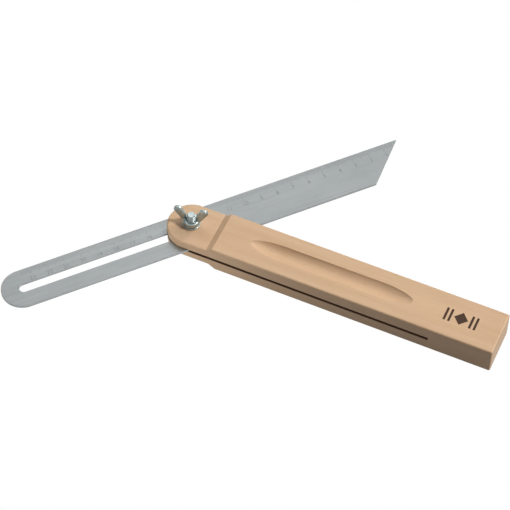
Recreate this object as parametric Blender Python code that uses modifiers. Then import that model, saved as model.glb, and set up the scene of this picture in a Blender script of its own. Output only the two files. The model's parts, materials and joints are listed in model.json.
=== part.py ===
"""A sliding bevel: a beech stock, a slotted steel blade with a mitred point, and the bolt, washer and
wing nut that clamp them.

Units are metres. +X runs along the stock from the pivot to its tail, +Y is the side that the blade's
point leans to, and +Z is up. The origin is on the stock's underside, on its centreline.
"""

import math

import bmesh
import bpy
from mathutils import Matrix, Vector

# Stock
STOCK_WIDTH = 0.028
STOCK_THICKNESS = 0.018
STOCK_TAIL = 0.187  # from the pivot to the square end
STOCK_EASE = 0.0010
PIVOT_X = -0.100
HEAD_STEP = 0.0027  # how far each face of the head is thinned
HEAD_STEP_START = 0.0153  # the foot of the top face's sloping shoulder, from the pivot
HEAD_STEP_RUN = 0.0038
UNDER_STEP_LAG = 0.0012  # how much nearer the tail the underside's shoulder is
KERF_LENGTH = 0.150  # from the pivot
THUMB_START = 0.0368  # the thumb groove's two ends, from the pivot
THUMB_END = 0.1352
THUMB_RADIUS = 0.0060
THUMB_DEPTH = 0.0030
THUMB_RUN_OUT = 0.0231  # half the length of the ellipse that each end of the groove follows

# Blade
BLADE_LENGTH = 0.250
BLADE_WIDTH = 0.025
BLADE_THICKNESS = 0.0015
BLADE_ANGLE = math.radians(48)
BLADE_MITRE = math.radians(45)
SLOT_WIDTH = 0.0055
SLOT_START = 0.0102  # from the round end
SLOT_END = 0.1320
BOLT_FROM_ROUND_END = 0.1145

# Fastener
GAP = 0.0003  # between a piece and the one it rests on or runs in
THREAD_RADIUS = 0.0025
NECK_SIDE = SLOT_WIDTH - 2 * GAP
BOLT_HEAD_RADIUS = 0.0058
BOLT_HEAD_HEIGHT = 0.0021
BOLT_HEAD_RIM = 0.0006
BOLT_TIP_CHAMFER = 0.0006
BOLT_STAND_OUT = 0.0042  # beyond the top of the nut's hub
NECK_ROOT_COVER = 0.0004  # how deep the square neck starts in the bolt's head
WASHER_RADIUS = 0.0052
WASHER_THICKNESS = 0.0008
WASHER_EDGE = 0.00012
NUT_BASE_RADIUS = 0.0049
NUT_TOP_RADIUS = 0.0046
NUT_EDGE = 0.0004
NUT_HEIGHT = 0.0028
NUT_ANGLE = math.radians(12)
WING_HEIGHT = 0.0129  # from the nut's base to the wing's tip
WING_REACH = 0.0100
WING_TIP_RADIUS = 0.0026
WING_TIP_START = math.radians(-30)  # where the wing's outer and inner edges leave its round tip
WING_TIP_END = math.radians(180)
WING_WEB_HEIGHT = 0.0075  # from the nut's base to the top of the web that stands beside the bolt
WING_THICKNESS = 0.0020
WING_EASE = 0.0005
WING_ROOT_LOW = 0.0008  # from the nut's base to the foot of the wing
WING_ROOT_COVER = 0.0004  # how much of the hub stands between the wing's root and the bore

# Heights above the underside
MIDDLE_Z = STOCK_THICKNESS / 2
HEAD_TOP_Z = STOCK_THICKNESS - HEAD_STEP
KERF_HEIGHT = BLADE_THICKNESS + 2 * GAP
WASHER_Z = HEAD_TOP_Z + GAP
NUT_Z = WASHER_Z + WASHER_THICKNESS + GAP
BOLT_END_Z = NUT_Z + NUT_HEIGHT + BOLT_STAND_OUT
BOLT_SEAT_Z = HEAD_STEP - GAP
NECK_TOP_Z = MIDDLE_Z + BLADE_THICKNESS / 2

NECK_HOLE_RADIUS = NECK_SIDE / math.sqrt(2) + GAP
SHANK_HOLE_RADIUS = THREAD_RADIUS + GAP

ARC_STEPS = 48  # in half a turn
TURN_STEPS = 48  # in a full turn
MERGE_DISTANCE = 1e-6
FLAT_ANGLE = math.radians(1)  # faces that meet at less than this are one face
BEVEL_ANGLE = math.radians(40)  # edges sharper than this are eased
SHARP_ANGLE = math.radians(35)  # edges sharper than this stay sharp in shading


def clear_scene():
    for obj in list(bpy.data.objects):
        bpy.data.objects.remove(obj, do_unlink=True)


def make_collection(name):
    collection = bpy.data.collections.new(name)
    bpy.context.scene.collection.children.link(collection)
    return collection


def make_material(name, colour, roughness, metallic=0.0):
    material = bpy.data.materials.new(name)
    material.use_nodes = True
    shader = material.node_tree.nodes["Principled BSDF"]
    shader.inputs["Base Color"].default_value = (*colour, 1)
    shader.inputs["Roughness"].default_value = roughness
    shader.inputs["Metallic"].default_value = metallic
    return material


def add_object(name, mesh, collection, material=None):
    obj = bpy.data.objects.new(name, mesh)
    collection.objects.link(obj)
    if material:
        mesh.materials.append(material)
    return obj


def hide_cutter(obj):
    obj.hide_render = True
    obj.display_type = "WIRE"
    return obj


def arc(centre, radius, start, end, steps):
    """Points on a circle's arc from one angle to another, both ends included."""
    angles = [start + (end - start) * i / steps for i in range(steps + 1)]
    return [(centre[0] + radius * math.cos(a), centre[1] + radius * math.sin(a)) for a in angles]


def plate_mesh(name, outlines, thickness):
    """A flat plate, centred in Z, from closed 2D outlines; an outline inside another is a hole."""
    curve = bpy.data.curves.new(name, "CURVE")
    curve.dimensions = "2D"
    curve.fill_mode = "BOTH"
    curve.extrude = thickness / 2
    for outline in outlines:
        spline = curve.splines.new("POLY")
        spline.points.add(len(outline) - 1)
        for point, (x, y) in zip(spline.points, outline):
            point.co = (x, y, 0, 1)
        spline.use_cyclic_u = True
    obj = bpy.data.objects.new(name, curve)
    bpy.context.scene.collection.objects.link(obj)
    evaluated = obj.evaluated_get(bpy.context.evaluated_depsgraph_get())
    mesh = bpy.data.meshes.new_from_object(evaluated)
    bpy.data.objects.remove(obj)
    bm = bmesh.new()
    bm.from_mesh(mesh)
    bmesh.ops.remove_doubles(bm, verts=bm.verts, dist=MERGE_DISTANCE)
    bmesh.ops.dissolve_limit(bm, angle_limit=FLAT_ANGLE, verts=bm.verts, edges=bm.edges)
    bmesh.ops.recalc_face_normals(bm, faces=bm.faces)
    bm.to_mesh(mesh)
    bm.free()
    return mesh


def box(name, low, high, collection):
    """A box between two corners, with its scale in its mesh."""
    low, high = Vector(low), Vector(high)
    mesh = bpy.data.meshes.new(name)
    bm = bmesh.new()
    bmesh.ops.create_cube(bm, size=1)
    bmesh.ops.scale(bm, vec=high - low, verts=bm.verts)
    bmesh.ops.translate(bm, vec=(low + high) / 2, verts=bm.verts)
    bm.to_mesh(mesh)
    bm.free()
    return add_object(name, mesh, collection)


def cylinder(name, radius, low, high, collection):
    mesh = bpy.data.meshes.new(name)
    bm = bmesh.new()
    bmesh.ops.create_cone(
        bm, cap_ends=True, segments=TURN_STEPS, radius1=radius, radius2=radius, depth=high - low
    )
    bmesh.ops.translate(bm, vec=(0, 0, (low + high) / 2), verts=bm.verts)
    bm.to_mesh(mesh)
    bm.free()
    return add_object(name, mesh, collection)


def turned(name, profile, collection, material=None):
    """A shape turned about Z, from (radius, height) points running down its outer side."""
    mesh = bpy.data.meshes.new(name)
    points = [(radius, 0, height) for radius, height in profile]
    mesh.from_pydata(points, [(i, i + 1) for i in range(len(points) - 1)], [])
    obj = add_object(name, mesh, collection, material)
    screw = obj.modifiers.new("turn", "SCREW")
    screw.steps = TURN_STEPS
    screw.render_steps = TURN_STEPS
    screw.use_merge_vertices = True
    screw.merge_threshold = MERGE_DISTANCE
    return obj


def boolean(obj, other, operation):
    modifier = obj.modifiers.new(f"{operation.lower()} {other.name}", "BOOLEAN")
    modifier.operation = operation
    modifier.solver = "EXACT"
    modifier.object = other


def bevel(obj, width, segments):
    modifier = obj.modifiers.new("ease", "BEVEL")
    modifier.width = width
    modifier.segments = segments
    modifier.limit_method = "ANGLE"
    modifier.angle_limit = BEVEL_ANGLE
    return modifier


def apply_modifiers(obj):
    """Put the evaluated shape in the object's own mesh, so that it can be shaded."""
    evaluated = obj.evaluated_get(bpy.context.evaluated_depsgraph_get())
    mesh = bpy.data.meshes.new_from_object(evaluated)
    obj.modifiers.clear()
    obj.data = mesh


def shade(obj):
    obj.data.shade_smooth()
    obj.data.set_sharp_from_angle(angle=SHARP_ANGLE)


def stock_outline():
    """The stock in plan, about the pivot: square at the tail, round at the head."""
    half = STOCK_WIDTH / 2
    head = arc((0, 0), half, math.pi / 2, 3 * math.pi / 2, ARC_STEPS)
    return head + [(STOCK_TAIL, -half), (STOCK_TAIL, half)]


def head_cutter(name, face_z, inward, start, cutters):
    """The waste over a thinned face of the head, with a sloping end whose foot is at start.

    inward is +1 for the underside and -1 for the top.
    """
    beyond = STOCK_WIDTH
    floor_z = face_z + inward * HEAD_STEP
    outside_z = face_z - inward * HEAD_STEP
    outline = [
        (-beyond, floor_z),
        (start, floor_z),
        (start + 2 * HEAD_STEP_RUN, outside_z),
        (-beyond, outside_z),
    ]
    cutter = add_object(name, plate_mesh(name, [outline], 2 * STOCK_WIDTH), cutters)
    cutter.rotation_euler.x = math.pi / 2
    return hide_cutter(cutter)


def thumb_cutter(cutters):
    """A long round bar with drawn-out ends, sunk a little way into the top face."""
    sink = THUMB_RADIUS - THUMB_DEPTH
    end_length = THUMB_RUN_OUT * math.sqrt(1 - (sink / THUMB_RADIUS) ** 2)
    first = THUMB_START + end_length
    last = THUMB_END - end_length
    profile = []
    for centre, start in ((last, math.pi / 2), (first, 0)):
        for i in range(ARC_STEPS // 4 + 1):
            angle = start - 2 * math.pi * i / ARC_STEPS
            radius = THUMB_RADIUS * math.cos(angle)
            profile.append((abs(radius), centre + THUMB_RUN_OUT * math.sin(angle)))
    cutter = turned("thumb_cutter", profile, cutters)
    cutter.rotation_euler.y = math.pi / 2
    cutter.location.z = STOCK_THICKNESS + sink
    return hide_cutter(cutter)


def make_stock(parts, cutters, material):
    mesh = plate_mesh("stock", [stock_outline()], STOCK_THICKNESS)
    mesh.transform(Matrix.Translation((0, 0, MIDDLE_Z)))
    stock = add_object("stock", mesh, parts, material)
    top = head_cutter("top_step_cutter", STOCK_THICKNESS, -1, HEAD_STEP_START, cutters)
    under_start = HEAD_STEP_START + UNDER_STEP_LAG
    under = head_cutter("under_step_cutter", 0, 1, under_start, cutters)
    for cutter in (top, under):
        boolean(stock, cutter, "DIFFERENCE")
    bevel(stock, STOCK_EASE, 3)

    half_kerf = KERF_HEIGHT / 2
    kerf = box(
        "kerf_cutter",
        (-STOCK_WIDTH, -STOCK_WIDTH, MIDDLE_Z - half_kerf),
        (KERF_LENGTH, STOCK_WIDTH, MIDDLE_Z + half_kerf),
        cutters,
    )
    neck_hole = cylinder("neck_hole_cutter", NECK_HOLE_RADIUS, -HEAD_STEP, MIDDLE_Z, cutters)
    shank_hole = cylinder(
        "shank_hole_cutter", SHANK_HOLE_RADIUS, MIDDLE_Z, 2 * STOCK_THICKNESS, cutters
    )
    thumb = thumb_cutter(cutters)
    for cutter in (kerf, neck_hole, shank_hole, thumb):
        hide_cutter(cutter)
        boolean(stock, cutter, "DIFFERENCE")
    for obj in (stock, *cutters.objects):
        obj.location.x += PIVOT_X
    return stock


def blade_outline():
    """The blade about its place on the bolt: round end at -X, point on the +Y edge at +X."""
    half = BLADE_WIDTH / 2
    round_end = -BOLT_FROM_ROUND_END
    tip = round_end + BLADE_LENGTH
    heel = tip - BLADE_WIDTH * math.tan(BLADE_MITRE)
    end = arc((round_end + half, 0), half, math.pi / 2, 3 * math.pi / 2, ARC_STEPS)
    return end + [(heel, -half), (tip, half)]


def slot_outline():
    radius = SLOT_WIDTH / 2
    first = SLOT_START + radius - BOLT_FROM_ROUND_END
    last = SLOT_END - radius - BOLT_FROM_ROUND_END
    left = arc((first, 0), radius, math.pi / 2, 3 * math.pi / 2, ARC_STEPS // 2)
    right = arc((last, 0), radius, -math.pi / 2, math.pi / 2, ARC_STEPS // 2)
    return left + right


def make_blade(parts, material):
    mesh = plate_mesh("blade", [blade_outline(), slot_outline()], BLADE_THICKNESS)
    blade = add_object("blade", mesh, parts, material)
    blade.location.z = MIDDLE_Z
    blade.rotation_euler.z = BLADE_ANGLE
    shade(blade)
    return blade


def bolt_profile():
    """Down the outer side: the chamfered end, the shank, the seat, then the domed head."""
    profile = [
        (0, BOLT_END_Z),
        (THREAD_RADIUS - BOLT_TIP_CHAMFER, BOLT_END_Z),
        (THREAD_RADIUS, BOLT_END_Z - BOLT_TIP_CHAMFER),
        (THREAD_RADIUS, BOLT_SEAT_Z),
    ]
    dome = BOLT_HEAD_HEIGHT - BOLT_HEAD_RIM
    steps = ARC_STEPS // 4
    profile.append((BOLT_HEAD_RADIUS, BOLT_SEAT_Z))
    for i in range(steps + 1):
        angle = math.pi / 2 * i / steps
        height = BOLT_SEAT_Z - BOLT_HEAD_RIM - dome * math.sin(angle)
        profile.append((BOLT_HEAD_RADIUS * math.cos(angle), height))
    profile[-1] = (0, profile[-1][1])
    return profile


def make_bolt(parts, cutters, material):
    bolt = turned("clamp_bolt", bolt_profile(), parts, material)
    half = NECK_SIDE / 2
    low = (-half, -half, BOLT_SEAT_Z - NECK_ROOT_COVER)
    neck = box("neck", low, (half, half, NECK_TOP_Z), cutters)
    hide_cutter(neck)
    boolean(bolt, neck, "UNION")
    apply_modifiers(bolt)
    shade(bolt)
    bolt.rotation_euler.z = BLADE_ANGLE
    return bolt


def make_washer(parts, material):
    inner, outer = SHANK_HOLE_RADIUS, WASHER_RADIUS
    top, bottom = WASHER_THICKNESS, 0
    ring = [(inner, top), (outer, top), (outer, bottom), (inner, bottom), (inner, top)]
    washer = turned("washer", ring, parts, material)
    bevel(washer, WASHER_EDGE, 1)
    apply_modifiers(washer)
    shade(washer)
    washer.location.z = WASHER_Z
    return washer


def nut_profile():
    """The hub: a low cone with eased rims and a chamfered bore."""
    bore = SHANK_HOLE_RADIUS
    edge = NUT_EDGE
    return [
        (bore + edge, NUT_HEIGHT),
        (NUT_TOP_RADIUS - edge, NUT_HEIGHT),
        (NUT_TOP_RADIUS, NUT_HEIGHT - edge),
        (NUT_BASE_RADIUS, edge),
        (NUT_BASE_RADIUS - edge, 0),
        (bore + edge, 0),
        (bore, edge),
        (bore, NUT_HEIGHT - edge),
        (bore + edge, NUT_HEIGHT),
    ]


def wing_outline():
    """One wing in its own plane: out along +X, up along +Y, with a round tip."""
    tip = (WING_REACH - WING_TIP_RADIUS, WING_HEIGHT - WING_TIP_RADIUS)
    rounded = arc(tip, WING_TIP_RADIUS, WING_TIP_START, WING_TIP_END, ARC_STEPS // 3)
    inner = SHANK_HOLE_RADIUS + WING_ROOT_COVER
    return rounded + [
        (inner, WING_WEB_HEIGHT),
        (inner, WING_ROOT_LOW),
        (NUT_TOP_RADIUS, WING_ROOT_LOW),
    ]


def make_nut(parts, cutters, material):
    nut = turned("wing_nut", nut_profile(), parts, material)
    for side in (0, 1):
        name = f"wing_{side}"
        mesh = plate_mesh(name, [wing_outline()], WING_THICKNESS)
        mesh.transform(Matrix.Rotation(math.pi / 2, 4, "X"))
        wing = add_object(name, mesh, cutters)
        wing.rotation_euler.z = side * math.pi
        bevel(wing, WING_EASE, 2)
        hide_cutter(wing)
        boolean(nut, wing, "UNION")
    apply_modifiers(nut)
    shade(nut)
    nut.location.z = NUT_Z
    nut.rotation_euler.z = NUT_ANGLE
    return nut


def make_pivot(parts, pieces):
    """An empty on the pivot's axis, which carries the blade and its fastener."""
    pivot = bpy.data.objects.new("pivot", None)
    parts.objects.link(pivot)
    pivot.location.x = PIVOT_X
    for piece in pieces:
        piece.parent = pivot


def main():
    clear_scene()
    parts = make_collection("sliding_bevel")
    cutters = make_collection("cutters")
    beech = make_material("beech", (0.62, 0.40, 0.24), 0.55)
    steel = make_material("blade_steel", (0.42, 0.44, 0.45), 0.35, 1.0)
    zinc = make_material("zinc", (0.60, 0.63, 0.66), 0.25, 1.0)
    make_stock(parts, cutters, beech)
    blade = make_blade(parts, steel)
    bolt = make_bolt(parts, cutters, zinc)
    washer = make_washer(parts, zinc)
    nut = make_nut(parts, cutters, zinc)
    make_pivot(parts, (blade, bolt, washer, nut))


main()
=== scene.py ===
"""The looks of a sliding bevel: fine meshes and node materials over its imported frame."""

import json
import math

import bmesh
import bpy
from mathutils import Matrix, Vector


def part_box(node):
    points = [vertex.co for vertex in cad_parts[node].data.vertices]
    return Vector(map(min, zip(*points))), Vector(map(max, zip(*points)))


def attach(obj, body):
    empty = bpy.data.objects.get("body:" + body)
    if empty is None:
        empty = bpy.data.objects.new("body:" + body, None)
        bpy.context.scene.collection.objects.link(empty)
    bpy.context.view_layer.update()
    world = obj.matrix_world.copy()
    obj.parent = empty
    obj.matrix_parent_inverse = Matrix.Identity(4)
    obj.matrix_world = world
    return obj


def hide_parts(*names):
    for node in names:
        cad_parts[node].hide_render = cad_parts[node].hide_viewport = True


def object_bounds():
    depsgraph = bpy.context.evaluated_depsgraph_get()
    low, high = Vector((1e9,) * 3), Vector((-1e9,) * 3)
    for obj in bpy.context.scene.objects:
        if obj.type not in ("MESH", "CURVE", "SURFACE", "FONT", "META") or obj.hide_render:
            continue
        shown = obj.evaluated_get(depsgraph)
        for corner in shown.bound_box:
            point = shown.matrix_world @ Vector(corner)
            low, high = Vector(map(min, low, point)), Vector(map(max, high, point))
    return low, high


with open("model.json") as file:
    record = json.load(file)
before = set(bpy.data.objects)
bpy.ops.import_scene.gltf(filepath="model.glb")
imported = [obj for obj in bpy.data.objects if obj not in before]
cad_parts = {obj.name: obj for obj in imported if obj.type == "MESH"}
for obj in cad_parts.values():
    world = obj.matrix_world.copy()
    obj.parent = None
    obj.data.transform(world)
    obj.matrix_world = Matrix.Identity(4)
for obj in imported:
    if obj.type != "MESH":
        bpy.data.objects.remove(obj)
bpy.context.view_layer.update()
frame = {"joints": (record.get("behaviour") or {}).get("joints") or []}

MM = 0.001
MM_IN_METRE = 1000

# The frame's own places and sizes
JOINTS = {joint["name"]: joint for joint in frame["joints"]}
PIVOT = Vector(JOINTS["blade_swing"]["pos_m"])
BLADE_AXIS = Vector(JOINTS["blade_slide"]["axis"])
BLADE_ANGLE = math.atan2(BLADE_AXIS.y, BLADE_AXIS.x)
STOCK_LOW, STOCK_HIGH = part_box("stock")
BLADE_LOW, BLADE_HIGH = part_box("blade")
BOLT_LOW, BOLT_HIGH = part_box("clamp_bolt")
WASHER_LOW, WASHER_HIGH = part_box("washer")
NUT_LOW, NUT_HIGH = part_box("wing_nut")

# Stock
STOCK_WIDTH = STOCK_HIGH.y - STOCK_LOW.y
STOCK_TAIL = STOCK_HIGH.x - PIVOT.x
TOP_Z = STOCK_HIGH.z
EASE = 1.0 * MM
STEP_EASE = 0.25 * MM  # on the shoulders' shallow edges
HEAD_STEP = 2.7 * MM
HEAD_STEP_START = 15.3 * MM
HEAD_STEP_RUN = 3.8 * MM
UNDER_STEP_LAG = 1.2 * MM
KERF_LENGTH = 150 * MM
KERF_HEIGHT = 2.1 * MM
THUMB_START = 36.8 * MM
THUMB_END = 135.2 * MM
THUMB_RADIUS = 6.0 * MM
THUMB_DEPTH = 3.0 * MM
THUMB_RUN_OUT = 23.1 * MM
MARK_LOW = Vector((154.0 * MM, -4.1 * MM))  # from the pivot
MARK_HIGH = Vector((172.9 * MM, 4.4 * MM))
MARK_STROKE = 1.35 * MM  # a bar's width, and each gap between the sign's pieces
MARK_DEPTH = 0.2 * MM
SHANK_HOLE_RADIUS = 2.8 * MM
NECK_HOLE_RADIUS = 3.76 * MM

# Blade, in its own frame: +X from the round end to the point, +Y to the graduated edge
BLADE_LENGTH = 250 * MM
BLADE_WIDTH = 25 * MM
BLADE_THICKNESS = BLADE_HIGH.z - BLADE_LOW.z
BLADE_EASE = 0.12 * MM
BOLT_FROM_ROUND_END = 114.5 * MM
SLOT_WIDTH = 5.5 * MM
SLOT_START = 10.2 * MM
SLOT_END = 132 * MM
SCALE_START = 4  # millimetres from the point: the first line that is clear of the mitre
SCALE_LENGTH = 235
TICK_WIDTH = 0.16 * MM
TICK_LENGTHS = {10: 5.6 * MM, 5: 4.6 * MM, 1: 3.6 * MM}
TICK_DEPTH = 0.06 * MM
FIGURE_HEIGHT = 2.6 * MM
FIGURE_FROM_EDGE = 8.1 * MM
FIGURE_SIZE = FIGURE_HEIGHT / 0.7  # the built-in font's figures are 0.7 of its size high
CELL_SHARE = 0.55  # of the figures' height, from the middle of their row to a cell's edge
CELL_REACH = 5.5 * MM  # from a centimetre line to its cell's side, which is between two lines

# Fastener
THREAD_RADIUS = 2.5 * MM
THREAD_PITCH = 0.8 * MM
THREAD_DEPTH = 0.45 * MM
THREAD_WAVE = 1.6  # the height of a triangle wave that is sunk, then clipped to 0..1
THREAD_SINK = 0.2
THREAD_SIDES = 48
THREAD_RINGS = 10  # a turn
BOLT_CHAMFER = 0.6 * MM
BOLT_SEAT_GAP = 0.3 * MM
BOLT_RIM_SHARE = 0.35  # of the head's height
BOLT_OVERLAP = 0.4 * MM  # how far the shank, the neck and the rod run into each other
BOLT_CORE_GAP = 0.02 * MM  # keeps the shank's side off the thread's crest
BOLT_EASE = 0.2 * MM
DOME_STEPS = 16
NECK_SIDE = 4.9 * MM
NECK_EASE = 0.25 * MM
WASHER_EASE = 0.3 * MM
NUT_ANGLE = math.radians(12)
NUT_HEIGHT = 2.8 * MM
NUT_BASE_RADIUS = 4.9 * MM
NUT_TOP_RADIUS = 4.6 * MM
NUT_EASE = 0.5 * MM
NUT_VOXEL = 0.2 * MM
WING_REACH = 10.0 * MM
WING_HEIGHT = NUT_HIGH.z - NUT_LOW.z
WING_TIP_RADIUS = 2.6 * MM
WING_TIP_START = math.radians(-30)
WING_TIP_END = math.radians(180)
WING_THICKNESS = 2.0 * MM
WING_EASE = 0.8 * MM
WING_ROOT_LOW = 0.8 * MM
WING_ROOT_RADIUS = 3.2 * MM
WING_WEB_HEIGHT = 7.5 * MM  # from the nut's base to the top of the web that stands beside the bolt
BORE_RADIUS = THREAD_RADIUS + 0.06 * MM
COUNTERSINK_RADIUS = 3.15 * MM
COUNTERSINK_TOP = NUT_HEIGHT - 0.2 * MM
COUNTERSINK_FOOT = NUT_HEIGHT - 1.0 * MM

# Camera
CAMERA_AZIMUTH = math.radians(24.36)
CAMERA_ELEVATION = math.radians(54.06)
CAMERA_DISTANCE = 1.1875
CAMERA_ASIDE = 0.03605  # how far right of the pivot the camera aims
CAMERA_BELOW = 0.00893  # and how far below the pivot's foot
CAMERA_LENS = 146.07
SENSOR_WIDTH = 36

# The room around the object
ROOM_HEIGHTS = (0.15, 0.75)  # sines of the elevations where the room is darkest and brightest
ROOM_TONES = (0.12, 0.75)
ROOM_FILL = 0.13

# Name, azimuth and elevation in degrees, distance and size in metres, power in watts, seen in metal
LIGHTS = (
    ("key", 105, 46, 3.0, 0.56, 66, True),
    ("rim", 150, 34, 3.0, 0.9, 24, True),
    ("back", 212, 54, 0.62, 0.40, 0.44, True),
    ("wood_light", 212, 54, 0.62, 0.48, 1.5, False),
    ("low", -15, 1.5, 0.12, 0.006, 0.055, False),
)
FLOOR_HALF = 6
FLOOR_DROP = 0.1 * MM
FLOOR_TONE = 0.2  # to bounced light

# Meshes
ARC_STEPS = 96
TURN_STEPS = 96
EASE_SHARE = 0.45  # the most of an edge that a rounding may take
JOIN_DISTANCE = 1e-7  # while a mesh is made
WELD_DISTANCE = 1e-6  # when it is cleaned
FLAT_DEGREES = 0.5  # faces that lie this near to one plane are one face
BEVEL_DEGREES = 40
STEP_BEVEL_DEGREES = 24
STOCK_SHARP_DEGREES = 28
BLADE_SHARP_DEGREES = 20
TURNED_SHARP_DEGREES = 40
LARGE_FACE_WEIGHT = 100  # the modifier's highest: the large faces set the normals


# Mesh helpers

def link(name, mesh, *materials):
    obj = bpy.data.objects.new(name, mesh)
    bpy.context.scene.collection.objects.link(obj)
    for material in materials:
        mesh.materials.append(material)
    return obj


def baked(obj):
    """The object's mesh with its modifiers applied."""
    evaluated = obj.evaluated_get(bpy.context.evaluated_depsgraph_get())
    return bpy.data.meshes.new_from_object(evaluated)


def bake(obj):
    """Apply the object's modifiers."""
    mesh = baked(obj)
    obj.modifiers.clear()
    obj.data = mesh


def weld(mesh):
    """Join points that lie on each other, and drop faces that have no area."""
    bm = bmesh.new()
    bm.from_mesh(mesh)
    bmesh.ops.remove_doubles(bm, verts=bm.verts, dist=WELD_DISTANCE)
    bmesh.ops.dissolve_degenerate(bm, dist=WELD_DISTANCE, edges=bm.edges)
    bm.to_mesh(mesh)
    bm.free()


def drop(*objects):
    for obj in objects:
        bpy.data.objects.remove(obj)


def place(obj, x, y, z, turn=0.0):
    """Put the object's mesh at its place in the frame, turned about the vertical."""
    obj.data.transform(Matrix.Translation((x, y, z)) @ Matrix.Rotation(turn, 4, "Z"))


def shade(obj, sharp_degrees):
    """Clean the mesh and shade it smooth, with the big flat faces kept flat."""
    weld(obj.data)
    obj.data.shade_smooth()
    obj.data.set_sharp_from_angle(angle=math.radians(sharp_degrees))
    weighted = obj.modifiers.new("weighted", "WEIGHTED_NORMAL")
    weighted.keep_sharp = True
    weighted.weight = LARGE_FACE_WEIGHT
    bake(obj)


def stand_in(piece, body, node):
    """Let the piece ride on the body, in the CAD node's stead."""
    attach(piece, body)
    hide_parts(node)


def arc(centre, radius, start, end, steps):
    angles = [start + (end - start) * i / steps for i in range(steps + 1)]
    return [(centre[0] + radius * math.cos(a), centre[1] + radius * math.sin(a)) for a in angles]


def plate_mesh(name, outlines, thickness):
    """A flat plate, centred in Z; an outline inside another is a hole."""
    curve = bpy.data.curves.new(name, "CURVE")
    curve.dimensions = "2D"
    curve.fill_mode = "BOTH"
    curve.extrude = thickness / 2
    for outline in outlines:
        spline = curve.splines.new("POLY")
        spline.points.add(len(outline) - 1)
        for point, (x, y) in zip(spline.points, outline):
            point.co = (x, y, 0, 1)
        spline.use_cyclic_u = True
    return curve_mesh(curve)


def curve_mesh(curve):
    """A closed mesh from a filled curve or a text."""
    obj = bpy.data.objects.new(curve.name, curve)
    bpy.context.scene.collection.objects.link(obj)
    mesh = baked(obj)
    drop(obj)
    bm = bmesh.new()
    bm.from_mesh(mesh)
    bmesh.ops.remove_doubles(bm, verts=bm.verts, dist=JOIN_DISTANCE)
    flat = math.radians(FLAT_DEGREES)
    bmesh.ops.dissolve_limit(bm, angle_limit=flat, verts=bm.verts, edges=bm.edges)
    for _ in range(2):  # a row of slivers goes one at a time
        bmesh.ops.dissolve_degenerate(bm, dist=WELD_DISTANCE, edges=bm.edges)
    bmesh.ops.recalc_face_normals(bm, faces=bm.faces)
    bm.to_mesh(mesh)
    bm.free()
    return mesh


def box_mesh(name, boxes):
    """One mesh of separate boxes, each a (low corner, high corner) pair."""
    mesh = bpy.data.meshes.new(name)
    bm = bmesh.new()
    for low, high in boxes:
        low, high = Vector(low), Vector(high)
        size = Matrix.Diagonal((*(high - low), 1))
        bmesh.ops.create_cube(bm, size=1, matrix=Matrix.Translation((low + high) / 2) @ size)
    bm.to_mesh(mesh)
    bm.free()
    return mesh


def cylinder_mesh(name, radius, low, high):
    mesh = bpy.data.meshes.new(name)
    bm = bmesh.new()
    bmesh.ops.create_cone(
        bm,
        cap_ends=True,
        segments=TURN_STEPS,
        radius1=radius,
        radius2=radius,
        depth=high - low,
        matrix=Matrix.Translation((0, 0, (low + high) / 2)),
    )
    bm.to_mesh(mesh)
    bm.free()
    return mesh


def turned_mesh(name, profile):
    """A shape turned about Z, from (radius, height) points running down its outer side."""
    mesh = bpy.data.meshes.new(name)
    points = [(radius, 0, height) for radius, height in profile]
    mesh.from_pydata(points, [(i, i + 1) for i in range(len(points) - 1)], [])
    obj = link(name, mesh)
    screw = obj.modifiers.new("turn", "SCREW")
    screw.steps = TURN_STEPS
    screw.render_steps = TURN_STEPS
    screw.use_merge_vertices = True
    screw.merge_threshold = JOIN_DISTANCE
    turned = baked(obj)
    drop(obj)
    return turned


def rounded(points, radius, steps=4):
    """A profile with each inner corner rounded by a short quadratic curve."""
    out = [points[0]]
    for before, corner, after in zip(points, points[1:], points[2:]):
        corner = Vector(corner)
        to_before = Vector(before) - corner
        to_after = Vector(after) - corner
        reach = min(radius, to_before.length * EASE_SHARE, to_after.length * EASE_SHARE)
        first = corner + to_before.normalized() * reach
        last = corner + to_after.normalized() * reach
        for i in range(steps + 1):
            t = i / steps
            point = first * (1 - t) ** 2 + corner * 2 * t * (1 - t) + last * t ** 2
            out.append(tuple(point))
    out.append(points[-1])
    return out


def boolean(obj, other, operation="DIFFERENCE"):
    modifier = obj.modifiers.new(other.name, "BOOLEAN")
    modifier.operation = operation
    modifier.solver = "EXACT"
    modifier.material_mode = "TRANSFER"
    modifier.object = other


def bevel(obj, width, segments, degrees=BEVEL_DEGREES):
    modifier = obj.modifiers.new("bevel", "BEVEL")
    modifier.width = width
    modifier.segments = segments
    modifier.limit_method = "ANGLE"
    modifier.angle_limit = math.radians(degrees)


def cut(obj, *cutters):
    """Take each cutter out of the object, then drop the cutters."""
    for cutter in cutters:
        boolean(obj, cutter)
    bake(obj)
    drop(*cutters)


# Material helpers

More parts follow.
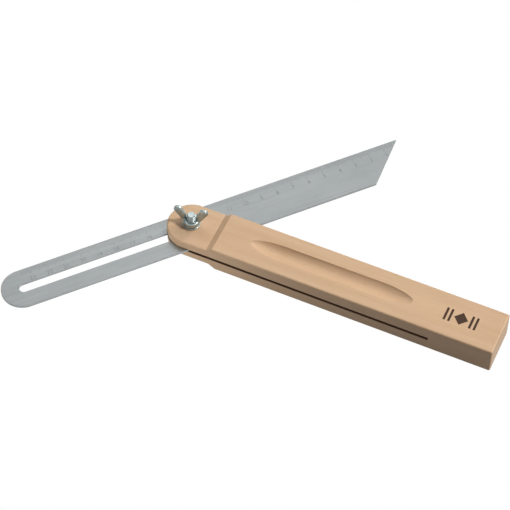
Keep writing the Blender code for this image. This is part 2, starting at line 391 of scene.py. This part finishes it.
class Nodes:
    """A short way to build a node tree, a new material's or one that exists."""

    def __init__(self, name, turn=0.0, tree=None):
        self.turn = turn  # the direction of the material's grain, from X
        self.tree = tree
        if tree is None:
            self.material = bpy.data.materials.new(name)
            self.material.use_nodes = True
            self.tree = self.material.node_tree
            self.shader = self.tree.nodes["Principled BSDF"]

    def put(self, socket, value):
        if isinstance(value, bpy.types.NodeSocket):
            self.tree.links.new(value, socket)
        else:
            socket.default_value = value

    def add(self, kind, inputs=None, **settings):
        node = self.tree.nodes.new(kind)
        for key, value in settings.items():
            setattr(node, key, value)
        for key, value in (inputs or {}).items():
            self.put(node.inputs[key], value)
        return node

    def coordinates(self, scale):
        """Object coordinates in millimetres, each axis times its own scale."""
        point = self.add("ShaderNodeTexCoord").outputs["Object"]
        along = self.add("ShaderNodeVectorRotate", {"Vector": point, "Angle": -self.turn})
        per_metre = tuple(MM_IN_METRE * s for s in scale)
        inputs = {"Vector": along.outputs["Vector"], "Scale": per_metre}
        return self.add("ShaderNodeMapping", inputs).outputs["Vector"]

    def noise(self, scale, detail=2.0, roughness=0.5):
        point = self.coordinates(scale)
        inputs = {"Vector": point, "Scale": 1.0, "Detail": detail, "Roughness": roughness}
        return self.add("ShaderNodeTexNoise", inputs).outputs["Fac"]

    def spread(self, value, low, high, to_low=0.0, to_high=1.0):
        """value from low..high to to_low..to_high, clamped."""
        inputs = {"Value": value, 1: low, 2: high, 3: to_low, 4: to_high}
        return self.add("ShaderNodeMapRange", inputs).outputs["Result"]

    def math(self, operation, first, second=0.0):
        node = self.add("ShaderNodeMath", operation=operation)
        self.put(node.inputs[0], first)
        self.put(node.inputs[1], second)
        return node.outputs["Value"]

    def mix(self, factor, first, second):
        node = self.add("ShaderNodeMix", data_type="RGBA")
        self.put(node.inputs[0], factor)
        self.put(node.inputs[6], first)
        self.put(node.inputs[7], second)
        return node.outputs[2]

    def bump(self, height, strength, distance):
        inputs = {"Height": height, "Strength": strength, "Distance": distance}
        self.put(self.shader.inputs["Normal"], self.add("ShaderNodeBump", inputs).outputs["Normal"])

    def set(self, **inputs):
        for key, value in inputs.items():
            self.put(self.shader.inputs[key.replace("_", " ")], value)


def rgb(red, green, blue):
    return (red, green, blue, 1.0)


def beech_material():
    """Sealed beech: long grain along X, short brown flecks, and end grain on the two ends."""
    n = Nodes("beech")
    bands = n.spread(n.noise((0.008, 0.16, 0.12), 3, 0.6), 0.35, 0.68)
    fibres = n.noise((0.10, 3.2, 3.2), 3, 0.65)
    flecks = n.spread(n.noise((0.45, 5.5, 5.5), 1, 0.5), 0.66, 0.72)
    patch = n.noise((0.03, 0.06, 0.06), 2, 0.5)
    base = n.mix(bands, rgb(0.66, 0.455, 0.285), rgb(0.60, 0.395, 0.235))
    base = n.mix(n.spread(fibres, 0.35, 0.75, 0, 0.35), base, rgb(0.53, 0.335, 0.19))
    base = n.mix(n.spread(patch, 0.4, 0.7, 0, 0.4), base, rgb(0.66, 0.43, 0.28))
    base = n.mix(n.math("MULTIPLY", flecks, 0.35), base, rgb(0.33, 0.17, 0.08))
    normal = n.add("ShaderNodeNewGeometry").outputs["Normal"]
    split = n.add("ShaderNodeSeparateXYZ", {"Vector": normal})
    end = n.spread(n.math("ABSOLUTE", split.outputs["X"]), 0.75, 0.95)
    pores = n.noise((3.0, 3.0, 3.0), 2, 0.7)
    end_colour = n.mix(n.spread(pores, 0.4, 0.7), rgb(0.60, 0.40, 0.24), rgb(0.40, 0.24, 0.13))
    n.set(Base_Color=n.mix(end, base, end_colour))
    n.set(Roughness=n.spread(fibres, 0.3, 0.8, 0.42, 0.60))
    n.set(Specular_IOR_Level=0.35)
    height = n.math("ADD", n.math("MULTIPLY", fibres, 0.6), n.math("MULTIPLY", flecks, -0.6))
    n.bump(height, 0.35, 0.06 * MM)
    return n.material


def sawn_material():
    """The bare, rough wood inside the saw cut, in dark browns that paint the shade inside the
    narrow cut.
    """
    n = Nodes("sawn_wood_painted_shade")
    fibres = n.noise((0.3, 4.0, 4.0), 3, 0.6)
    # painted shade: the dark browns stand for the shade that falls inside the narrow saw cut; the
    # roughness and bump are the rough sawn wood
    n.set(Base_Color=n.mix(fibres, rgb(0.26, 0.14, 0.085), rgb(0.38, 0.22, 0.13)))
    n.set(Roughness=0.9)
    n.bump(fibres, 0.5, 0.1 * MM)
    return n.material


def char_material():
    """The burnt floor of the branded mark."""
    n = Nodes("burnt_wood")
    soot = n.noise((1.5, 4.0, 4.0), 3, 0.6)
    n.set(Base_Color=n.mix(soot, rgb(0.030, 0.014, 0.007), rgb(0.075, 0.038, 0.020)))
    n.set(Roughness=0.85)
    n.bump(soot, 0.5, 0.08 * MM)
    return n.material


def blade_material():
    """Ground steel with a fine lengthwise brush, and faint stains."""
    n = Nodes("ground_steel", BLADE_ANGLE)
    brush = n.noise((0.05, 14.0, 14.0), 3, 0.7)
    coarse = n.noise((0.02, 2.0, 2.0), 2, 0.6)
    stain = n.noise((0.04, 0.10, 0.10), 4, 0.6)
    tone = n.mix(n.spread(stain, 0.35, 0.70), rgb(0.35, 0.37, 0.37), rgb(0.32, 0.34, 0.345))
    tone = n.mix(n.spread(brush, 0.35, 0.75, 0, 0.25), tone, rgb(0.28, 0.295, 0.30))
    n.set(Base_Color=tone, Metallic=1.0)
    n.set(Roughness=n.spread(coarse, 0.3, 0.7, 0.36, 0.48))
    n.set(Anisotropic=0.4)
    n.bump(n.math("ADD", brush, n.math("MULTIPLY", coarse, 0.5)), 0.15, 0.01 * MM)
    return n.material


def ink_material():
    """The darkened floor of the etched scale."""
    n = Nodes("etched_scale")
    n.set(Base_Color=rgb(0.25, 0.265, 0.265), Metallic=0.9, Roughness=0.5)
    n.bump(n.noise((6.0, 6.0, 6.0)), 0.2, 0.01 * MM)
    return n.material


def zinc_material():
    """Bright zinc plate with a faint blue passivation and a pebbled skin."""
    n = Nodes("zinc_plate")
    tint = n.noise((0.25, 0.25, 0.25), 3, 0.6)
    skin = n.noise((3.0, 3.0, 3.0), 3, 0.6)
    tint = n.spread(tint, 0.35, 0.7)
    n.set(Base_Color=n.mix(tint, rgb(0.46, 0.525, 0.51), rgb(0.33, 0.385, 0.385)))
    n.set(Metallic=0.95, Roughness=n.spread(skin, 0.3, 0.7, 0.26, 0.40))
    n.bump(skin, 0.25, 0.04 * MM)
    return n.material


# Stock

def stock_outline():
    half = STOCK_WIDTH / 2
    head = arc((0, 0), half, math.pi / 2, 3 * math.pi / 2, ARC_STEPS)
    return head + [(STOCK_TAIL, -half), (STOCK_TAIL, half)]


def head_cutter(name, face_z, inward, start):
    """The waste over a thinned face of the head, with a sloping end whose foot is at start."""
    beyond = STOCK_WIDTH
    floor_z = face_z + inward * HEAD_STEP
    outside_z = face_z - inward * HEAD_STEP
    outline = [
        (-beyond, floor_z),
        (start, floor_z),
        (start + 2 * HEAD_STEP_RUN, outside_z),
        (-beyond, outside_z),
    ]
    mesh = plate_mesh(name, [outline], 2 * STOCK_WIDTH)
    mesh.transform(Matrix.Rotation(math.pi / 2, 4, "X"))
    return link(name, mesh)


def thumb_cutter():
    """A long round bar with drawn-out ends, sunk a little way into the top face."""
    sink = THUMB_RADIUS - THUMB_DEPTH
    share = math.sqrt(1 - (sink / THUMB_RADIUS) ** 2)
    first = THUMB_START + THUMB_RUN_OUT * share
    last = THUMB_END - THUMB_RUN_OUT * share
    profile = []
    for centre, start in ((last, math.pi / 2), (first, 0)):
        for i in range(ARC_STEPS // 4 + 1):
            angle = start - 2 * math.pi * i / ARC_STEPS
            radius = THUMB_RADIUS * abs(math.cos(angle))
            profile.append((radius, centre + THUMB_RUN_OUT * math.sin(angle)))
    mesh = turned_mesh("thumb_groove", profile)
    mesh.transform(Matrix.Translation((0, 0, TOP_Z + sink)) @ Matrix.Rotation(math.pi / 2, 4, "Y"))
    return link("thumb_groove", mesh)


def mark_cutters(char):
    """A plain burnt sign: a diamond between two pairs of upright bars."""
    low, high = MARK_LOW, MARK_HIGH
    width = MARK_STROKE
    outlines = []
    for x in (low.x, low.x + 2 * width, high.x - 3 * width, high.x - width):
        outlines.append([(x, low.y), (x + width, low.y), (x + width, high.y), (x, high.y)])
    middle = (low + high) / 2
    reach_x = (high.x - low.x) / 2 - 4 * width
    reach_y = (high.y - low.y) / 2
    outlines.append([
        (middle.x - reach_x, middle.y),
        (middle.x, middle.y - reach_y),
        (middle.x + reach_x, middle.y),
        (middle.x, middle.y + reach_y),
    ])
    cutters = []
    for i, outline in enumerate(outlines):
        mesh = plate_mesh(f"mark_{i}", [outline], 2 * MARK_DEPTH)
        mesh.transform(Matrix.Translation((0, 0, TOP_Z)))
        cutters.append(link(f"mark_{i}", mesh, char))
    return cutters


def make_stock(beech, sawn_shade, char):
    thickness = STOCK_HIGH.z - STOCK_LOW.z
    mesh = plate_mesh("stock_wood", [stock_outline()], thickness)
    mesh.transform(Matrix.Translation((0, 0, (STOCK_LOW.z + TOP_Z) / 2)))
    stock = link("stock_wood", mesh, beech)
    cut(
        stock,
        head_cutter("top_step", TOP_Z, -1, HEAD_STEP_START),
        head_cutter("under_step", STOCK_LOW.z, 1, HEAD_STEP_START + UNDER_STEP_LAG),
    )
    bevel(stock, EASE, 5)
    bevel(stock, STEP_EASE, 2, STEP_BEVEL_DEGREES)
    bake(stock)
    middle = PIVOT.z
    kerf_low = (-STOCK_WIDTH, -STOCK_WIDTH, middle - KERF_HEIGHT / 2)
    kerf_high = (KERF_LENGTH, STOCK_WIDTH, middle + KERF_HEIGHT / 2)
    # the saw cut's faces take the wood colour darkened with painted shade
    kerf = link("kerf", box_mesh("kerf", [(kerf_low, kerf_high)]), sawn_shade)
    neck = link("neck", cylinder_mesh("neck", NECK_HOLE_RADIUS, -HEAD_STEP, middle))
    shank = link("shank", cylinder_mesh("shank", SHANK_HOLE_RADIUS, middle, 2 * TOP_Z))
    cut(stock, kerf, neck, shank)
    cut(stock, thumb_cutter())
    cut(stock, *mark_cutters(char))
    place(stock, PIVOT.x, PIVOT.y, 0)
    shade(stock, STOCK_SHARP_DEGREES)
    stand_in(stock, "stock", "stock")


# Blade

def blade_outline():
    half = BLADE_WIDTH / 2
    round_end = -BOLT_FROM_ROUND_END
    tip = round_end + BLADE_LENGTH
    end = arc((round_end + half, 0), half, math.pi / 2, 3 * math.pi / 2, ARC_STEPS)
    return end + [(tip - BLADE_WIDTH, -half), (tip, half)]


def slot_outline():
    radius = SLOT_WIDTH / 2
    first = SLOT_START + radius - BOLT_FROM_ROUND_END
    last = SLOT_END - radius - BOLT_FROM_ROUND_END
    left = arc((first, 0), radius, math.pi / 2, 3 * math.pi / 2, ARC_STEPS // 2)
    right = arc((last, 0), radius, -math.pi / 2, math.pi / 2, ARC_STEPS // 2)
    return left + right


def tick_boxes():
    """The scale's lines, one a millimetre, from the point along the graduated edge."""
    edge = BLADE_WIDTH / 2
    tip = BLADE_LENGTH - BOLT_FROM_ROUND_END
    top = BLADE_THICKNESS / 2
    boxes = []
    for mm in range(SCALE_START, SCALE_LENGTH + 1):
        length = next(TICK_LENGTHS[step] for step in (10, 5, 1) if mm % step == 0)
        x = tip - mm * MM
        outer = edge + TICK_WIDTH
        low = (x - TICK_WIDTH / 2, edge - length, top - TICK_DEPTH)
        boxes.append((low, (x + TICK_WIDTH / 2, outer, top + TICK_DEPTH)))
    return boxes


def figure_cutter(centimetre, ink):
    """A figure of the scale, beside its line."""
    text = bpy.data.curves.new(f"figure_{centimetre}", "FONT")
    text.body = str(centimetre)
    text.align_x = "CENTER"
    text.align_y = "CENTER"
    text.size = FIGURE_SIZE
    text.extrude = TICK_DEPTH
    text.resolution_u = 4
    mesh = curve_mesh(text)
    tip = BLADE_LENGTH - BOLT_FROM_ROUND_END
    row = BLADE_WIDTH / 2 - FIGURE_FROM_EDGE
    middle = (tip - centimetre * 10 * MM, row, BLADE_THICKNESS / 2)
    mesh.transform(Matrix.Translation(middle))
    return link(f"figure_{centimetre}", mesh, ink)


def split_plate(obj):
    """Cut the plate's faces into one cell a figure, so that no face carries many holes."""
    row = BLADE_WIDTH / 2 - FIGURE_FROM_EDGE
    reach = CELL_SHARE * FIGURE_HEIGHT
    tip = BLADE_LENGTH - BOLT_FROM_ROUND_END
    planes = [((0, row + side * reach, 0), (0, 1, 0)) for side in (-1, 1)]
    for cm in range(1, SCALE_LENGTH // 10 + 2):
        planes.append(((tip - cm * 10 * MM + CELL_REACH, 0, 0), (1, 0, 0)))
    bm = bmesh.new()
    bm.from_mesh(obj.data)
    for point, normal in planes:
        everything = bm.verts[:] + bm.edges[:] + bm.faces[:]
        bmesh.ops.bisect_plane(
            bm, geom=everything, dist=JOIN_DISTANCE, plane_co=point, plane_no=normal
        )
    bm.to_mesh(obj.data)
    bm.free()


def make_blade(steel, ink):
    mesh = plate_mesh("blade_steel", [blade_outline(), slot_outline()], BLADE_THICKNESS)
    blade = link("blade_steel", mesh, steel)
    bevel(blade, BLADE_EASE, 1)
    bake(blade)
    split_plate(blade)
    ticks = link("ticks", box_mesh("ticks", tick_boxes()), ink)
    figures = [figure_cutter(cm, ink) for cm in range(1, SCALE_LENGTH // 10 + 1)]
    cut(blade, ticks, *figures)
    blade.modifiers.new("triangles", "TRIANGULATE").min_vertices = 5
    bake(blade)
    place(blade, PIVOT.x, PIVOT.y, (BLADE_LOW.z + BLADE_HIGH.z) / 2, BLADE_ANGLE)
    shade(blade, BLADE_SHARP_DEGREES)
    stand_in(blade, "blade", "blade")


# Fastener

def thread_height(angle, z):
    """How far the thread stands above its root, from 0 to 1, at an angle and a height."""
    phase = (z / THREAD_PITCH - angle / (2 * math.pi)) % 1
    return min(1.0, max(0.0, THREAD_WAVE * (1 - abs(2 * phase - 1)) - THREAD_SINK))


def threaded_rod_mesh(name, low, high):
    """A rod about Z with a helical thread, a chamfered top and flat ends."""
    mesh = bpy.data.meshes.new(name)
    bm = bmesh.new()
    count = int((high - low) / (THREAD_PITCH / THREAD_RINGS))
    rings = []
    for k in range(count + 1):
        z = low + (high - low) * k / count
        limit = THREAD_RADIUS - max(0.0, BOLT_CHAMFER - (high - z))
        ring = []
        for i in range(THREAD_SIDES):
            angle = 2 * math.pi * i / THREAD_SIDES
            radius = THREAD_RADIUS - THREAD_DEPTH * (1 - thread_height(angle, z))
            radius = min(radius, limit)
            ring.append(bm.verts.new((radius * math.cos(angle), radius * math.sin(angle), z)))
        rings.append(ring)
    for lower, upper in zip(rings, rings[1:]):
        for i in range(THREAD_SIDES):
            j = (i + 1) % THREAD_SIDES
            bm.faces.new((lower[i], lower[j], upper[j], upper[i]))
    bm.faces.new(rings[-1])
    bm.faces.new(tuple(reversed(rings[0])))
    bm.to_mesh(mesh)
    bm.free()
    return mesh


def make_bolt(zinc):
    seat = STOCK_LOW.z + HEAD_STEP - BOLT_SEAT_GAP
    head_radius = (BOLT_HIGH.x - BOLT_LOW.x) / 2
    height = seat - BOLT_LOW.z
    rim = BOLT_RIM_SHARE * height
    neck_top = PIVOT.z + BLADE_THICKNESS / 2
    shank_top = neck_top + BOLT_OVERLAP
    core = THREAD_RADIUS - BOLT_CORE_GAP
    side = [(core, shank_top), (core, seat), (head_radius, seat)]
    dome = []
    for i in range(DOME_STEPS):
        angle = math.pi / 2 * i / DOME_STEPS
        down = seat - rim - (height - rim) * math.sin(angle)
        dome.append((head_radius * math.cos(angle), down))
    dome.append((0, BOLT_LOW.z))
    profile = [(0, shank_top)] + rounded(side + dome[:1], BOLT_EASE) + dome[1:]
    bolt = link("bolt", turned_mesh("bolt", profile), zinc)
    half = NECK_SIDE / 2
    low, high = (-half, -half, seat - BOLT_OVERLAP), (half, half, neck_top)
    neck = link("bolt_neck", box_mesh("bolt_neck", [(low, high)]), zinc)
    bevel(neck, NECK_EASE, 3)
    bake(neck)
    rod_low = shank_top - BOLT_OVERLAP
    rod = link("bolt_rod", threaded_rod_mesh("bolt_rod", rod_low, BOLT_HIGH.z), zinc)
    boolean(bolt, neck, "UNION")
    boolean(bolt, rod, "UNION")
    bake(bolt)
    drop(neck, rod)
    place(bolt, PIVOT.x, PIVOT.y, 0, BLADE_ANGLE)
    shade(bolt, TURNED_SHARP_DEGREES)
    stand_in(bolt, "bolt", "clamp_bolt")


def make_washer(zinc):
    """A punched washer, with its edges rounded."""
    outer = (WASHER_HIGH.x - WASHER_LOW.x) / 2
    inner = SHANK_HOLE_RADIUS
    thickness = WASHER_HIGH.z - WASHER_LOW.z
    middle = (inner + outer) / 2
    ring = [(middle, thickness), (outer, thickness), (outer, 0), (inner, 0), (inner, thickness)]
    profile = rounded(ring + [(middle, thickness)], WASHER_EASE, 5)
    washer = link("plain_washer", turned_mesh("plain_washer", profile), zinc)
    place(washer, PIVOT.x, PIVOT.y, WASHER_LOW.z)
    shade(washer, TURNED_SHARP_DEGREES)
    stand_in(washer, "washer", "washer")


def hub_profile():
    """Down the hub's outer side: a low cone with rounded rims."""
    return rounded([
        (0, NUT_HEIGHT),
        (NUT_TOP_RADIUS, NUT_HEIGHT),
        (NUT_BASE_RADIUS, 0),
        (0, 0),
    ], NUT_EASE, 5)


def bore_profile():
    """Down the outer side of the nut's countersunk bore."""
    return [
        (0, 2 * NUT_HEIGHT),
        (COUNTERSINK_RADIUS, 2 * NUT_HEIGHT),
        (COUNTERSINK_RADIUS, COUNTERSINK_TOP),
        (BORE_RADIUS, COUNTERSINK_FOOT),
        (BORE_RADIUS, -NUT_HEIGHT),
        (0, -NUT_HEIGHT),
    ]


def wing_outline():
    """One wing in its own plane: out along +X, up along +Y, with a round tip."""
    tip = (WING_REACH - WING_TIP_RADIUS, WING_HEIGHT - WING_TIP_RADIUS)
    return arc(tip, WING_TIP_RADIUS, WING_TIP_START, WING_TIP_END, ARC_STEPS // 2) + [
        (WING_ROOT_RADIUS, WING_WEB_HEIGHT),
        (WING_ROOT_RADIUS, WING_ROOT_LOW),
        (NUT_TOP_RADIUS, WING_ROOT_LOW),
    ]


def make_nut(zinc):
    nut = link("wing_nut_cast", turned_mesh("wing_nut_cast", hub_profile()), zinc)
    wings = []
    for side in (0, 1):
        mesh = plate_mesh(f"wing_{side}", [wing_outline()], WING_THICKNESS)
        upright = Matrix.Rotation(math.pi / 2, 4, "X")
        mesh.transform(Matrix.Rotation(side * math.pi, 4, "Z") @ upright)
        wing = link(f"wing_{side}", mesh, zinc)
        bevel(wing, WING_EASE, 4)
        bake(wing)
        boolean(nut, wing, "UNION")
        wings.append(wing)
    bake(nut)
    drop(*wings)
    remesh = nut.modifiers.new("remesh", "REMESH")
    remesh.mode = "VOXEL"
    remesh.voxel_size = NUT_VOXEL
    smooth = nut.modifiers.new("smooth", "SMOOTH")
    smooth.factor = 0.5
    smooth.iterations = 8
    bake(nut)
    cut(nut, link("bore", turned_mesh("bore", bore_profile()), zinc))
    place(nut, PIVOT.x, PIVOT.y, NUT_LOW.z, NUT_ANGLE)
    shade(nut, TURNED_SHARP_DEGREES)
    stand_in(nut, "nut", "wing_nut")


# Stage

def make_floor():
    """A pale floor that the camera sees as plain white, without shadows, and clear from below."""
    n = Nodes("floor_white")
    n.set(Base_Color=rgb(FLOOR_TONE, FLOOR_TONE, FLOOR_TONE), Roughness=0.9)
    seen = n.add("ShaderNodeEmission", {"Color": rgb(1, 1, 1), "Strength": 1.0})
    path = n.add("ShaderNodeLightPath")
    share = n.math("MAXIMUM", path.outputs["Is Camera Ray"], path.outputs["Is Glossy Ray"])
    mix = n.add("ShaderNodeMixShader", {0: share})
    n.tree.links.new(n.shader.outputs[0], mix.inputs[1])
    n.tree.links.new(seen.outputs[0], mix.inputs[2])
    below = n.add("ShaderNodeNewGeometry").outputs["Backfacing"]
    floor_mix = n.add("ShaderNodeMixShader", {0: below, 1: mix.outputs[0]})
    clear = n.add("ShaderNodeBsdfTransparent")
    n.tree.links.new(clear.outputs[0], floor_mix.inputs[2])
    n.tree.links.new(floor_mix.outputs[0], n.tree.nodes["Material Output"].inputs["Surface"])
    mesh = bpy.data.meshes.new("floor")
    bm = bmesh.new()
    bmesh.ops.create_grid(bm, x_segments=1, y_segments=1, size=FLOOR_HALF)
    bm.to_mesh(mesh)
    bm.free()
    floor = link("floor", mesh, n.material)
    floor.location.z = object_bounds()[0].z - FLOOR_DROP


def direction(azimuth, elevation):
    """The unit vector from the object towards a place seen at azimuth and elevation, in degrees."""
    a, e = math.radians(azimuth), math.radians(elevation)
    return Vector((math.sin(a) * math.cos(e), -math.cos(a) * math.cos(e), math.sin(e)))


def add_light(name, azimuth, elevation, distance, size, power, in_metal):
    """A round lamp that looks at the pivot."""
    data = bpy.data.lights.new(name, "AREA")
    data.shape = "DISK"
    data.size = size
    data.energy = power
    light = bpy.data.objects.new(name, data)
    bpy.context.scene.collection.objects.link(light)
    towards = direction(azimuth, elevation)
    light.location = PIVOT + towards * distance
    light.rotation_euler = towards.to_track_quat("Z", "Y").to_euler()
    light.visible_camera = False
    light.visible_glossy = in_metal


def make_world():
    """White to the camera, a room with a bright ceiling in metal, and a weak fill elsewhere."""
    world = bpy.data.worlds.new("studio")
    world.use_nodes = True
    n = Nodes("", tree=world.node_tree)
    ray = n.add("ShaderNodeLightPath")
    towards = n.add("ShaderNodeTexCoord").outputs["Generated"]
    height = n.add("ShaderNodeSeparateXYZ", {"Vector": towards}).outputs["Z"]
    room = n.spread(height, *ROOM_HEIGHTS, *ROOM_TONES)
    reflected = n.math("MULTIPLY", ray.outputs["Is Glossy Ray"], room)
    seen = n.math("MAXIMUM", ray.outputs["Is Camera Ray"], reflected)
    background = n.tree.nodes["Background"]
    background.inputs["Color"].default_value = rgb(1, 1, 1)
    n.put(background.inputs["Strength"], n.math("MAXIMUM", seen, ROOM_FILL))
    bpy.context.scene.world = world


def make_camera():
    data = bpy.data.cameras.new("camera")
    data.lens = CAMERA_LENS
    data.sensor_width = SENSOR_WIDTH
    camera = bpy.data.objects.new("camera", data)
    bpy.context.scene.collection.objects.link(camera)
    back = direction(math.degrees(CAMERA_AZIMUTH), math.degrees(CAMERA_ELEVATION))
    right = Vector((math.cos(CAMERA_AZIMUTH), math.sin(CAMERA_AZIMUTH), 0))
    up = back.cross(right)
    pivot_foot = Vector((PIVOT.x, PIVOT.y, STOCK_LOW.z))
    camera.location = pivot_foot + back * CAMERA_DISTANCE + right * CAMERA_ASIDE - up * CAMERA_BELOW
    camera.rotation_euler = Matrix((right, up, back)).transposed().to_euler()
    bpy.context.scene.camera = camera


def main():
    zinc = zinc_material()
    make_stock(beech_material(), sawn_material(), char_material())
    make_blade(blade_material(), ink_material())
    make_bolt(zinc)
    make_washer(zinc)
    make_nut(zinc)
    make_floor()
    make_world()
    for light in LIGHTS:
        add_light(*light)
    make_camera()
    bpy.context.scene.view_settings.view_transform = "Standard"


main()
